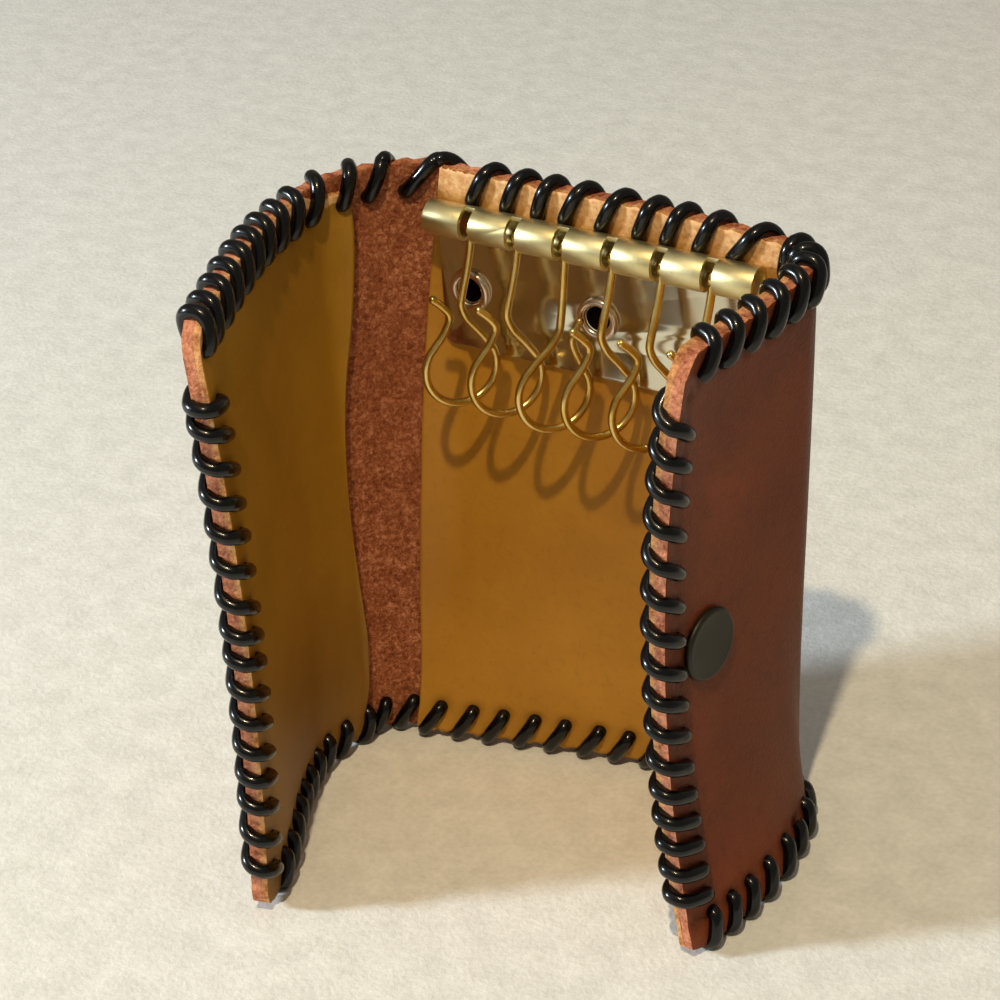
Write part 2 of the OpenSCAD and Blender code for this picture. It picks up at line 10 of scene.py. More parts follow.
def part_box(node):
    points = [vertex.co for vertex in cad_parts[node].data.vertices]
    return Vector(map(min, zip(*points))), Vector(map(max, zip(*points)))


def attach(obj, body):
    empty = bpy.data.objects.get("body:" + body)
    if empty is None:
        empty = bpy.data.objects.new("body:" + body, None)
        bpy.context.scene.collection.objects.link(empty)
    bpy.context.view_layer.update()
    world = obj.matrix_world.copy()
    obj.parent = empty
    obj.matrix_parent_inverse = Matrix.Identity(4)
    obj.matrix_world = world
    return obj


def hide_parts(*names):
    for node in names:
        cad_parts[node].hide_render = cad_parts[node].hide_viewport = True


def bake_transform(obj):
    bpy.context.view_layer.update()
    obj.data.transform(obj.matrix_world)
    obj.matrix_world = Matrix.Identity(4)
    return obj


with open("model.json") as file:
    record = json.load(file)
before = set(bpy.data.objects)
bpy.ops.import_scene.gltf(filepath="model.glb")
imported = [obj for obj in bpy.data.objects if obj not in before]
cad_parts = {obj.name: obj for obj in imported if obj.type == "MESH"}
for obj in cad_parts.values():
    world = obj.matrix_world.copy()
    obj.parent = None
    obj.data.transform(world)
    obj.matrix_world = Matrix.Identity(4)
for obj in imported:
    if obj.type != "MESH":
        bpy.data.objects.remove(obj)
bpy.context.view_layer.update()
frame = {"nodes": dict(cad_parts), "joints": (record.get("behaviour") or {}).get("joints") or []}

# Camera and light
# The case is seen from the front right and above, through a long lens that is turned a little on its axis.
# A small warm lamp hangs high in front, a cool window stands low on the left, and the room fills the shade.
VIEW_FROM = Vector((0.17615, -0.27974, 0.2739))
VIEW_AZIMUTH, VIEW_DOWN, VIEW_ROLL = math.radians(32.05), math.radians(31.8), math.radians(-3.25)
CASE_MIDDLE = Vector((0, 0, 0.05))


def placed(name, data):
    """A new object in the scene, at the origin."""
    o = bpy.data.objects.new(name, data)
    bpy.context.collection.objects.link(o)
    return o


def lamp(name, towards, distance, size, power, colour):
    """A round lamp that shines on the middle of the case from the side towards, at a distance in metres."""
    light = bpy.data.lights.new(name, "AREA")
    light.shape = "DISK"
    light.size = size
    light.energy = power
    light.color = colour
    o = placed(name, light)
    o.location = Vector(towards).normalized() * distance + CASE_MIDDLE
    o.rotation_mode = "QUATERNION"
    o.rotation_quaternion = Vector(towards).to_track_quat("Z", "Y")


ahead = Vector((-math.sin(VIEW_AZIMUTH) * math.cos(VIEW_DOWN), math.cos(VIEW_AZIMUTH) * math.cos(VIEW_DOWN),
                -math.sin(VIEW_DOWN)))
level = Vector((math.cos(VIEW_AZIMUTH), math.sin(VIEW_AZIMUTH), 0))
upright = level.cross(ahead)
across = level * math.cos(VIEW_ROLL) + upright * math.sin(VIEW_ROLL)
above = upright * math.cos(VIEW_ROLL) - level * math.sin(VIEW_ROLL)
camera = placed("camera", bpy.data.cameras.new("camera"))
camera.data.lens = 90
camera.data.sensor_width = 36
camera.matrix_world = Matrix.Translation(VIEW_FROM) @ Matrix((across, above, -ahead)).transposed().to_4x4()
bpy.context.scene.camera = camera
bpy.context.scene.view_settings.view_transform = "Standard"

lamp("warm_lamp", (0.1553, -0.4266, 0.891), 0.9, 0.03, 4.6, (1, 0.81, 0.5))
lamp("window", (-0.75, -0.56, 0.34), 1.2, 0.16, 15.5, (0.79, 0.92, 1))
lamp("ceiling", (0, -0.1, 1), 1.5, 1.4, 1.3, (1, 0.97, 0.9))


# Cover
# One sheet of red-brown leather, 1.8 mm thick, smooth outside and rough inside, with raw cut edges. It stands
# on its short ends, bent into a wide soft fold on the left and a tight one on the right, and has warped.
# Sizes are in millimetres, places along it run from the left free edge, and depths outwards from its middle
back_low, back_high = [np.round(np.array(corner) * 1000, 4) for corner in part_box("back_cover")]
BACK_W = back_high[0] - back_low[0]
BACK_AT = np.array([(back_low[0] + back_high[0]) / 2, back_high[1]])
LOW, HIGH = back_low[2], back_high[2]
COVER, LINING = 1.8, 1.0
THICK = COVER + LINING
COVER_SIDES = (THICK / 2, THICK / 2 - COVER)
LEFT_W, SIDE_W, FRONT_W = 47.7, 19.5, 18.0
LEFT_R, LEFT_TURN, RIGHT_R, RIGHT_TURN = 15.0, 105.5, 7.0, 97.5
LEFT_ARC = (LEFT_R - THICK / 2) * math.radians(LEFT_TURN)
RIGHT_ARC = (RIGHT_R - THICK / 2) * math.radians(RIGHT_TURN)
FOLD_A = LEFT_W
BACK_A = FOLD_A + LEFT_ARC
BACK_B = BACK_A + BACK_W
FOLD_B = BACK_B + RIGHT_ARC
TURN_B = FOLD_B + SIDE_W
END = TURN_B + FRONT_W
BACK_MID = (BACK_A + BACK_B) / 2
SIDE_MID = FOLD_B + SIDE_W / 2
FRONT_CURVE = (TURN_B - 5, TURN_B + 5)
# What is cut off the corners of a sheet: at its left end low and high, then at its right end low and high
LEFT_CORNERS, RIGHT_CORNERS, NO_CORNERS = (3.5, 5.0, 0, 0), (0, 0, 0.8, 4), (0, 0, 0, 0)


def plan(s):
    """Point of the flat-sided plan at the distance s from the left free edge, at mid-thickness."""
    s = np.asarray(s, float)
    left = np.array([-BACK_W / 2, -LEFT_R]) + BACK_AT
    right = np.array([BACK_W / 2, -RIGHT_R]) + BACK_AT
    a = np.where(s < BACK_A, LEFT_TURN * (BACK_A - s) / LEFT_ARC, RIGHT_TURN * (BACK_B - s) / RIGHT_ARC)
    a = np.radians(np.clip(np.where((s >= BACK_A) & (s <= BACK_B), 0, a), -RIGHT_TURN, LEFT_TURN))
    r = np.where(s < BACK_A, LEFT_R, RIGHT_R) - THICK / 2
    cx = np.where(s < BACK_A, left[0], right[0])
    cy = np.where(s < BACK_A, left[1], right[1])
    x, y = cx - r * np.sin(a), cy + r * np.cos(a)
    over = np.where(s < FOLD_A, s - FOLD_A, np.where(s > FOLD_B, s - FOLD_B, 0))
    x, y = x + over * np.cos(a), y + over * np.sin(a)
    back = (s >= BACK_A) & (s <= BACK_B)
    x = np.where(back, left[0] + s - BACK_A, x)
    y = np.where(back, BACK_AT[1] - THICK / 2, y)
    return x, y


# How far the worn leather stands from that plan: place, then x and y at the top, half way up and at the foot
WARP = np.array([
    (0, -2.9, -1.0, -0.9, -0.3, -0.8, -3.6),
    (11, -3.8, -0.3, -2.1, -0.1, -1.6, -2.6),
    (20, -4.7, 0.2, -3.1, 0.1, -3.9, -1.7),
    (29, -4.9, 0.6, -3.7, 0.2, -5.2, -0.8),
    (35, -4.3, 0.6, -3.4, 0, -5.1, -0.3),
    (41, -3.1, 0.3, -2.2, -0.2, -3.1, -0.3),
    (47.7, -1.5, 0, -0.6, -0.5, 0.2, -0.8),
    (54, 0, -0.6, 0.6, -2.4, 1.4, -4.8),
    (60, 0.9, -0.9, 0.9, -4.0, 1.2, -8.3),
    (66, 0.6, -0.5, -0.4, -4.6, -1.6, -10.6),
    (72.7, 0, 0, -1.2, -3.6, -3.8, -11.2),
    (80, 0, 0, -1.1, -2.9, -4.2, -9.5),
    (88, 0, 0, -1.1, -2.2, -4.5, -7.4),
    (103, 0, 0, -1.2, -1.1, -5.0, -3.8),
    (119, 0, 0, -1.0, -0.2, -5.3, -0.8),
    (134.2, 0.2, 0, -0.9, 0, -5.0, 0.6),
    (139, -0.2, 0.3, -1.4, 0.4, -5.4, 2.2),
    (143.8, -0.1, 0.4, -1.4, 0.9, -2.7, 5.1),
    (149, 0.1, -0.6, -1.6, 0.8, 1.3, 6.9),
    (154, 0, -1.5, -1.8, 0.9, 3.2, 6.8),
    (164, 0.2, -1.1, -2.1, 1.4, 5.5, 5.4),
    (174, 1.0, 0.4, -2.3, 1.9, 5.2, 3.3),
    (181.3, 2.2, 2.2, -2.2, 2.2, 3.3, 0.1),
])


def smooth_at(x, xs, ys):
    """Smooth curve through the points xs, ys, read at x."""
    xs, ys = np.asarray(xs, float), np.asarray(ys, float)
    x = np.clip(x, xs[0], xs[-1])
    slope = np.gradient(ys, xs)
    k = np.clip(np.searchsorted(xs, x, side="right") - 1, 0, len(xs) - 2)
    h = xs[k + 1] - xs[k]
    t = (x - xs[k]) / h
    return ((1 + 2 * t) * (1 - t) ** 2 * ys[k] + t * (1 - t) ** 2 * h * slope[k]
            + t * t * (3 - 2 * t) * ys[k + 1] + t * t * (t - 1) * h * slope[k + 1])


def middle(s, z):
    """Point of the warped leather at mid-thickness."""
    x, y = plan(s)
    f = np.clip((z - LOW) / (HIGH - LOW), 0, 1)
    # A rigid plate and its tube hold the upper part of the back flat
    held = np.clip(np.minimum((s - BACK_A + 6) / 10, (BACK_B + 4 - s) / 8), 0, 1)
    f = f + (np.clip(f / 0.68, 0, 1) - f) * held * held * (3 - 2 * held)
    weights = (2 * (f - 0.5) * f, 4 * f * (1 - f), 2 * (f - 0.5) * (f - 1))
    dx = sum(w * smooth_at(s, WARP[:, 0], WARP[:, 1 + 2 * i]) for i, w in enumerate(weights))
    dy = sum(w * smooth_at(s, WARP[:, 0], WARP[:, 2 + 2 * i]) for i, w in enumerate(weights))
    return np.stack([x + dx, y + dy, z + 0 * s], -1)


def top_at(s):
    """Height of the top edge: the sheet was cut a little low round the right fold."""
    return HIGH - smooth_at(s, [0, 80, 128, 138, 150, 158, 170, END], [0, 0, 0.8, 1.7, 2.4, 2.4, 1.3, 0.3])


def leather(s, z, n):
    """Point n outside the middle of the warped leather, and the direction outwards there."""
    s, z, n = np.broadcast_arrays(np.asarray(s, float), np.asarray(z, float), np.asarray(n, float))
    step = 0.05
    ds = middle(s + step, z) - middle(s - step, z)
    dz = middle(s, z + step) - middle(s, z - step)
    out = np.cross(dz, ds)
    out /= np.linalg.norm(out, axis=-1, keepdims=True)
    return middle(s, z) + n[..., None] * out, out


# Holes for the lacing, punched by hand and so a little uneven: places along the top and bottom, heights up
# and down the free edges, and how far in from the edge each row lies
top_row = np.array([2.4, 5.4, 10.4, 15.4, 20.7, 25.6, 30.4, 35.5, 40.5, 46.2, 54.9, 60.1, 66.5, 79.5, 85.9,
                    91.6, 96.5, 103, 109.7, 114.5, 120, 125.5, 134.5, 137.5, 140.5, 143.9, 148.2, 152.8,
                    158.7, 165.6, 173.8])
bottom_row = np.array([4.6, 8.6, 12.4, 16.8, 20.6, 24.2, 28.0, 32.3, 37.0, 42.4, 49.0, 59.2, 69.7, 76.0,
                       81.9, 87.6, 93.5, 99.2, 105.6, 111.1, 117, 123, 129, 133.2, 137.2, 141.5, 146.0,
                       150.5, 155.2, 159.8, 165.4, 170.1, 173.9, 177.3, 179.9])
left_row = np.array([7.4, 13.2, 19.7, 25.4, 30.2, 35.9, 41.4, 47.5, 52.3, 57.2, 64.0, 70.3, 76.0, 82.0,
                     88.1, 93.7])
right_row = np.array([100.0, 93.9, 88.3, 82.4, 76.1, 69.4, 63.4, 57.2, 51.0, 45.4, 39.7, 33.8, 28.7, 23.8,
                      19.2, 14.3, 9.7])
TOP_IN, BOTTOM_IN, LEFT_IN, RIGHT_IN = 4.9, 4.6, 3.8, 3.8
PULL_AREA, PULL_DENT = 2.2, 0.45
holes = np.array([(s, top_at(s) - TOP_IN) for s in top_row] + [(s, LOW + BOTTOM_IN) for s in bottom_row]
                 + [(LEFT_IN, z) for z in left_row] + [(END - RIGHT_IN, z) for z in right_row])


def pulled(s, z):
    """0 on plain leather, rising to 1 at a punched hole."""
    near = np.full(np.broadcast(s, z).shape, 99.0)
    for hs, hz in holes:
        near = np.minimum(near, (s - hs) ** 2 + (z - hz) ** 2)
    return np.exp(-near / PULL_AREA)


def lines(a, b, fine_ends, step):
    """Places from a to b about step apart, and 0.6 apart over the last 9 of an end that is fine."""
    reach = 9
    near = np.arange(0, reach, 0.6)
    parts = [[a, b], np.arange(a + (reach if fine_ends[0] else 0), b - (reach if fine_ends[1] else 0), step)]
    if fine_ends[0]:
        parts.append(a + near)
    if fine_ends[1]:
        parts.append(b - near)
    return np.unique(np.round(np.concatenate(parts), 3))


def worn(d, r):
    """How much a corner rounded to the radius r has lost at the distance d from the sheet's end."""
    d = np.clip(d, 0, r)
    return r - np.sqrt(r * r - (r - d) ** 2) if r else 0 * d


def no_change(s, z=0):
    return 0 * s


def sheet(name, start, stop, step, sides, cut_ends, corners, shift=no_change, lift=no_change, sag=no_change):
    """A sheet of leather from start to stop, between two depths. Ends that aren't cut run on into the next
    sheet. shift moves its lines along, lift raises it inwards and sag lowers its top edge."""
    z_share = (lines(LOW, HIGH, (True, True), 2.0) - LOW) / (HIGH - LOW)
    ss, ff = np.meshgrid(lines(start, stop, cut_ends, step), z_share, indexing="ij")
    trims = [worn(ss - start, corners[k])
             + 0.85 * np.clip(corners[2 + k] - (stop - ss), 0, corners[2 + k]) for k in (0, 1)]
    rough = 0.12 * np.sin(ss * 1.9 + 0.7) + 0.1 * np.sin(ss * 4.3 + 2.1)
    foot_z, roof_z = LOW + trims[0], top_at(ss) - trims[1] - sag(ss)
    zz = foot_z + ff * (roof_z - foot_z) + rough * (2 * ff - 1) ** 9
    ss = ss + shift(ss, zz)
    pull = pulled(ss, zz)
    outer, inner = sides
    dent, off = PULL_DENT * pull, lift(ss, zz)
    outside = leather(ss, zz, outer - dent * (outer > 0) - off)[0]
    inside = leather(ss, zz, inner + dent * (inner < 0) - off)[0]
    verts = np.concatenate([outside.reshape(-1, 3), inside.reshape(-1, 3)]) / 1000
    ns, nz = ss.shape

    def at(i, j, side):
        return side * ns * nz + i * nz + j

    faces, kinds = [], []
    for i in range(ns - 1):
        for j in range(nz - 1):
            faces.append((at(i, j, 0), at(i, j + 1, 0), at(i + 1, j + 1, 0), at(i + 1, j, 0)))
            faces.append((at(i, j, 1), at(i + 1, j, 1), at(i + 1, j + 1, 1), at(i, j + 1, 1)))
            kinds += [0, 1]
    top = nz - 1
    border = [(at(i, 0, 0), at(i + 1, 0, 0), at(i + 1, 0, 1), at(i, 0, 1)) for i in range(ns - 1)]
    border += [(at(i + 1, top, 0), at(i, top, 0), at(i, top, 1), at(i + 1, top, 1)) for i in range(ns - 1)]
    for i, up, down in ((0, 1, 0), (ns - 1, 0, 1)):
        if cut_ends[down]:
            border += [(at(i, j + up, 0), at(i, j + down, 0), at(i, j + down, 1), at(i, j + up, 1))
                       for j in range(top)]
    kinds += [2] * len(border)
    mesh = bpy.data.meshes.new(name)
    mesh.from_pydata(verts.tolist(), [], faces + border)
    mesh.polygons.foreach_set("material_index", np.array(kinds, np.int32))
    mesh.polygons.foreach_set("use_smooth", np.array(kinds) < 2)
    for key, value in (("pull", pull), ("rim", roof_z - zz)):
        attribute = mesh.attributes.new(key, "FLOAT", "POINT")
        attribute.data.foreach_set("value", np.concatenate([value.ravel()] * 2).astype(np.float32))
    return placed(name, mesh)


def bend(piece, a, b, start, end):
    """Works the piece's place into its mesh. The bodies a and b are not used, and the points found from start
    and end go unused.
    """
    p, q = [(float(x) / 1000, float(y) / 1000, 0.05) for x, y in (plan(start), plan(end))]
    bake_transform(piece)


def srgb(r, g, b):
    """A colour as a screen shows it, in 0 to 255, as the light values that a shader takes."""
    return tuple(((c / 255 + 0.055) / 1.055) ** 2.4 if c > 10 else c / 3294.6 for c in (r, g, b))


class Tone:
    """A value on its way through a finish: Python's operators add the Math nodes."""

    def __init__(self, finish, socket):
        self.finish, self.socket = finish, socket

    def _math(self, operation, a, b):
        return self.finish.add("ShaderNodeMath", {"operation": operation}, {0: a, 1: b})

    def __add__(self, other):
        return self._math("ADD", self, other)

    def __sub__(self, other):
        return self._math("SUBTRACT", self, other)

    def __rsub__(self, other):
        return self._math("SUBTRACT", other, self)

    def __mul__(self, other):
        return self._math("MULTIPLY", self, other)

    __radd__, __rmul__ = __add__, __mul__

    def step(self, low, high):
        """0 below low, 1 above high, smooth between."""
        return self.finish.add("ShaderNodeMapRange", {"interpolation_type": "SMOOTHSTEP"},
                               {"Value": self, "From Min": low, "From Max": high})


class Finish:
    """A procedural material, with one shader whose plain values are set on its own sockets."""

    def __init__(self, name, **plain):
        self.material = bpy.data.materials.new(name)
        self.material.use_nodes = True
        self.nodes, self.links = self.material.node_tree.nodes, self.material.node_tree.links
        self.shader = self.nodes["Principled BSDF"]
        for key, value in plain.items():
            self.shader.inputs[key.replace("_", " ")].default_value = value
        self.place = self.add("ShaderNodeTexCoord", {}, {}, "Object")

    def add(self, kind, settings, inputs, out=0):
        """A node of that kind, its settings first, then the values or links of its sockets."""
        node = self.nodes.new(kind)
        for key, value in settings.items():
            if key == "stops":
                ramp = node.color_ramp
                while len(ramp.elements) < len(value):
                    ramp.elements.new(0.5)
                for element, (at, colour) in zip(ramp.elements, value):
                    element.position = at
                    element.color = (*colour, 1)
            else:
                setattr(node, key, value)
        for key, value in inputs.items():
            self.put(node.inputs[key], value)
        return Tone(self, node.outputs[out])

    def put(self, socket, value):
        if isinstance(value, Tone):
            self.links.new(value.socket, socket)
        elif isinstance(value, tuple) and len(value) == 3 and socket.type == "RGBA":
            socket.default_value = (*value, 1)
        else:
            socket.default_value = value

    def noise(self, scale, detail=3.0, rough=0.5, place=None, warp=0.0):
        return self.add("ShaderNodeTexNoise", {}, {"Vector": place or self.place, "Scale": scale,
                                                   "Detail": detail, "Roughness": rough, "Distortion": warp})

    def cells(self, scale, feature="F1"):
        return self.add("ShaderNodeTexVoronoi", {"feature": feature}, {"Vector": self.place, "Scale": scale},
                        "Distance")

    def height(self):
        return self.add("ShaderNodeSeparateXYZ", {}, {"Vector": self.place}, "Z")

    def attribute(self, name):
        return self.add("ShaderNodeAttribute", {"attribute_name": name}, {}, "Fac")

    def mix(self, share, a, b):
        return self.add("ShaderNodeMix", {"data_type": "RGBA"}, {0: share, 6: a, 7: b}, 2)

    def ramp(self, value, *stops):
        return self.add("ShaderNodeValToRGB", {"stops": stops}, {0: value})

    def bump(self, height, distance, strength):
        return self.add("ShaderNodeBump", {}, {"Height": height, "Distance": distance, "Strength": strength})

    def done(self, **links):
        for key, value in links.items():
            self.put(self.shader.inputs[key.replace("_", " ")], value)
        return self.material


def grain_side():
    """Red-brown smooth leather with pores, fine creases and cloudy shades, and painted shade in the dents
    round the punched holes.
    """
    f = Finish("cover_grain_side", Specular_IOR_Level=0.16)
    cloud = f.noise(34, 4, 0.6)
    crease = f.cells(620, "DISTANCE_TO_EDGE").step(0, 0.12)
    colour = f.ramp(cloud, (0.3, srgb(100, 46, 22)), (0.55, srgb(116, 55, 28)), (0.75, srgb(129, 64, 34)))
    colour = f.mix(f.noise(420, 3, 0.6).step(0.52, 0.75) * 0.35, colour, srgb(78, 34, 18))
    # Painted shade: darker in the dents round the punched holes, where the cord beds in
    colour = f.mix(f.attribute("pull") * 0.55, colour, srgb(52, 22, 13))
    height = f.cells(1500) * 0.35 + crease * 0.5 + f.noise(160, 4, 0.6) * 0.6
    return f.done(Base_Color=colour, Roughness=0.44 + cloud * 0.16 - crease * 0.05,
                  Normal=f.bump(height, 0.00012, 0.55))


def rough_side():
    """Suede: short fibres in tufts."""
    f = Finish("cover_rough_side", Specular_IOR_Level=0.2)
    fibre = f.noise(1300, 5, 0.75, warp=0.6)
    tuft = f.noise(330, 4, 0.7)
    colour = f.ramp(fibre * 0.75 + tuft * 0.25, (0.36, srgb(98, 46, 28)), (0.5, srgb(164, 94, 60)),
                    (0.64, srgb(224, 154, 112)))
    colour = f.mix(f.noise(60).step(0.35, 0.7) * 0.25, colour, srgb(140, 76, 44))
    return f.done(Base_Color=colour, Roughness=0.93 + tuft * 0.05, Normal=f.bump(fibre + tuft, 0.0005, 0.9))


def cut_edge(name, low, high):
    """The raw fibres of a cut edge, between two shades."""
    f = Finish(name, Specular_IOR_Level=0.2)
    fibre = f.noise(1500, 4, 0.7)
    patch = f.noise(420, 4, 0.65)
    colour = f.ramp(patch * 0.6 + fibre * 0.4, (0.38, low), (0.6, high))
    return f.done(Base_Color=colour, Roughness=0.85 + fibre * 0.1, Normal=f.bump(fibre + patch, 0.0004, 0.9))


cover_left = sheet("cover_left", 0, BACK_MID, 1.0, COVER_SIDES, (True, False), LEFT_CORNERS)
cover_right = sheet("cover_right", BACK_MID, SIDE_MID, 0.8, COVER_SIDES, (False, False), NO_CORNERS)
cover_front = sheet("cover_front", SIDE_MID, END, 0.8, COVER_SIDES, (False, True), RIGHT_CORNERS)
raw_edge = cut_edge("cover_cut_edge", srgb(134, 66, 42), srgb(220, 146, 110))
cover_finish = [grain_side(), rough_side(), raw_edge]
for piece in (cover_left, cover_right, cover_front):
    for finish in cover_finish:
        piece.data.materials.append(finish)
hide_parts("left_flap_cover", "left_fold_cover", "back_cover")
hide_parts("right_fold_cover", "right_side_cover")
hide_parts("right_flap_cover")
bend(cover_left, "back", "left_flap", BACK_A, FOLD_A)
bend(cover_right, "back", "right_side", BACK_B, FOLD_B)
bend(cover_front, "right_side", "right_flap", *FRONT_CURVE)


# Lining
# Mustard leather, 1 mm thick and smooth. One piece makes the pocket of the left flap and laps onto the fold
# with a wavy loose edge; the other covers the back, the right fold and the right flap.
LINING_SIDES = (THICK / 2 - COVER, -THICK / 2)
LAP_END = 56.6
BACK_LINING = BACK_A - 3.9


def lining_finish(name, low, mid, high, pale_from, shade=0):
    """Grain side in three shades, with painted shade in the dents round the holes. Within pale_from of the
    top edge it is painted pale with a frayed border: painted light, where the top faces up to the lamp. The
    share
    shade paints it darker towards the foot: painted shade."""
    f = Finish(name, Specular_IOR_Level=0.3)
    cloud = f.noise(28, 4, 0.6)
    colour = f.ramp(cloud, (0.3, low), (0.55, mid), (0.75, high))
    colour = f.mix(f.noise(75, 3, 0.6, warp=0.8).step(0.5, 0.8) * 0.3, colour, low)
    colour = f.mix(f.noise(700, 3, 0.6).step(0.5, 0.8) * 0.25, colour, srgb(134, 86, 22))
    # Painted shade: darker in the dents round the punched holes
    colour = f.mix(f.attribute("pull") * 0.6, colour, srgb(84, 48, 14))
    # Painted shade: darker towards the foot, by the share shade
    colour = f.mix(f.height().step(0.06, 0) * shade, colour, srgb(110, 74, 26))
    # Painted light: pale near the top edge, where the top faces up to the lamp, with a frayed border
    painted_light_top = (f.attribute("rim") - f.noise(500, 3, 0.6) * 2.4).step(pale_from, pale_from * 0.3)
    bare = f.ramp(f.noise(900, 4, 0.7), (0.35, srgb(196, 136, 80)), (0.65, srgb(236, 190, 136)))
    return f.done(Base_Color=f.mix(painted_light_top, colour, bare), Roughness=0.46 + cloud * 0.12,
                  Normal=f.bump(f.cells(1250) * 0.5 + f.noise(260, 4, 0.6), 0.0001, 0.5))


def up_share(z):
    """0 at the foot of the leather, 1 at its top."""
    return (z - LOW) / (HIGH - LOW)


def lap_edge(s, z):
    """The loose edge of the pocket lining wanders by a few millimetres along its height."""
    short = smooth_at(up_share(z), [0, 0.07, 0.11, 0.18, 0.28, 0.38, 0.46, 0.55, 0.65, 0.76, 0.85, 0.94, 1.0],
                      [9.2, 8.6, 6.2, 4.5, 6.6, 8.2, 8.5, 7.5, 5.1, 1.9, 0.4, 0, 0.6])
    return -short * np.clip((s - LAP_END + 30) / 30, 0, 1) ** 2


def back_edge(s, z):
    """The back lining was trimmed by hand, and its free edge bows to the left."""
    late = smooth_at(up_share(z), [0, 0.07, 0.24, 0.46, 0.6, 0.77, 1.0], [2.8, 2.3, 0.6, 0, 0.1, 1.1, 4.9])
    return late * np.clip((BACK_LINING + 14 - s) / 14, 0, 1) ** 2


def curled(s, z):
    """The loose edge stands a little off the leather behind it."""
    f = up_share(z)
    loose = np.clip(1 - (LAP_END + lap_edge(LAP_END + 0 * s, z) - s) / 9, 0, 1) ** 2
    return 0.9 * loose * np.clip(f / 0.1, 0, 1) * np.clip((1 - f) / 0.08, 0, 1)


def lap_top(s):
    """The pocket lining's top edge is cut lower over its last few millimetres, clear of the lacing."""
    return 2.6 * np.clip((s - 45) / 4, 0, 1)


# The smooth side faces into the case, so each sheet's inner face takes the grain
lining_left = sheet("lining_pocket", 0, LAP_END, 1.0, LINING_SIDES, (True, True), LEFT_CORNERS,
                    lap_edge, curled, lap_top)
lining_right = sheet("lining_back", BACK_LINING, SIDE_MID, 0.9, LINING_SIDES, (True, False), NO_CORNERS,
                     back_edge)
lining_front = sheet("lining_front", SIDE_MID, END, 0.8, LINING_SIDES, (False, True), RIGHT_CORNERS)
lining_back_side = rough_side()
lining_edge = cut_edge("lining_cut_edge", srgb(150, 88, 46), srgb(224, 164, 108))
mustard = (srgb(168, 114, 29), srgb(184, 129, 36), srgb(196, 140, 46))
# The pocket's grain is the same mustard leather in darker shades: painted shade, as the pocket faces away
# from the lamps
pocket_painted_shade_grain = lining_finish("pocket_lining_painted_shade", srgb(146, 102, 22), srgb(162, 117, 28), srgb(173, 127, 36),
                             0.8, 0.6)
back_grain = lining_finish("lining_grain_side", *mustard, 5.5)
front_grain = lining_finish("front_lining_grain_side", *mustard, 0.8)
for piece, grain in ((lining_left, pocket_painted_shade_grain), (lining_right, back_grain), (lining_front, front_grain)):
    for finish in (lining_back_side, grain, lining_edge):
        piece.data.materials.append(finish)
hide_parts("left_pocket_lining", "left_fold_lining")
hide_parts("back_lining", "right_fold_lining", "right_side_lining")
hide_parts("right_flap_lining")
bend(lining_left, "back", "left_flap", BACK_A, FOLD_A)
bend(lining_right, "back", "right_side", BACK_B, FOLD_B)
bend(lining_front, "right_side", "right_flap", *FRONT_CURVE)


# Lacing
# Round glossy black cord, 2.4 mm thick, whipped over every edge through the punched holes: up the left free
# edge, along the top, down the right free edge and back along the bottom. It is pulled tight and beds in.
LACE_R, LACE_SINK, LACE_OVER = 1.22, 0.55, 0.75
LACE_N = THICK / 2 + LACE_R - LACE_SINK
# One turn, from one hole to the next: share of the way along, place in from the edge (0 at the edge, 1 at the
# hole, -1 furthest outside the edge) and share out from mid-thickness. It slants evenly all round
TURN = [(0, 1, 0), (0.02, 0.97, -0.72), (0.10, 0.74, -1), (0.27, 0.3, -1), (0.37, 0.02, -0.82),
        (0.45, -0.846, -0.42), (0.5, -1, 0), (0.55, -0.846, 0.42), (0.63, 0.02, 0.82), (0.73, 0.3, 1),
        (0.9, 0.74, 1), (0.98, 0.97, 0.72)]


def cord_tree():
    """Round cord or wire along the edges of a mesh, and the identifiers of its radius, sides and finish."""
    tree = bpy.data.node_groups.new("round_cord", "GeometryNodeTree")
    face = tree.interface
    face.new_socket("Route", in_out="INPUT", socket_type="NodeSocketGeometry")
    radius = face.new_socket("Cord radius", in_out="INPUT", socket_type="NodeSocketFloat")
    sides = face.new_socket("Sides", in_out="INPUT", socket_type="NodeSocketInt")
    finish = face.new_socket("Finish", in_out="INPUT", socket_type="NodeSocketMaterial")
    face.new_socket("Cord", in_out="OUTPUT", socket_type="NodeSocketGeometry")
    come, curve, ring, sweep, smooth, real, paint, go = [tree.nodes.new(kind) for kind in (
        "NodeGroupInput", "GeometryNodeMeshToCurve", "GeometryNodeCurvePrimitiveCircle",
        "GeometryNodeCurveToMesh", "GeometryNodeSetShadeSmooth", "GeometryNodeRealizeInstances",
        "GeometryNodeSetMaterial", "NodeGroupOutput")]
    sweep.inputs["Fill Caps"].default_value = True
    for out, into in ((come.outputs["Route"], curve.inputs[0]),
                      (come.outputs["Cord radius"], ring.inputs["Radius"]),
                      (come.outputs["Sides"], ring.inputs["Resolution"]),
                      (curve.outputs[0], sweep.inputs["Curve"]),
                      (ring.outputs[0], sweep.inputs["Profile Curve"]),
                      (sweep.outputs[0], smooth.inputs[0]),
                      (smooth.outputs[0], real.inputs[0]),
                      (real.outputs[0], paint.inputs["Geometry"]),
                      (come.outputs["Finish"], paint.inputs["Material"]),
                      (paint.outputs[0], go.inputs[0])):
        tree.links.new(out, into)
    return tree, radius.identifier, sides.identifier, finish.identifier


CORD_TREE, CORD_RADIUS, CORD_SIDES, CORD_FINISH = cord_tree()


def made(piece):
    """Works the piece's modifiers into a plain mesh."""
    mesh = bpy.data.meshes.new_from_object(piece.evaluated_get(bpy.context.evaluated_depsgraph_get()))
    piece.modifiers.clear()
    piece.data = mesh


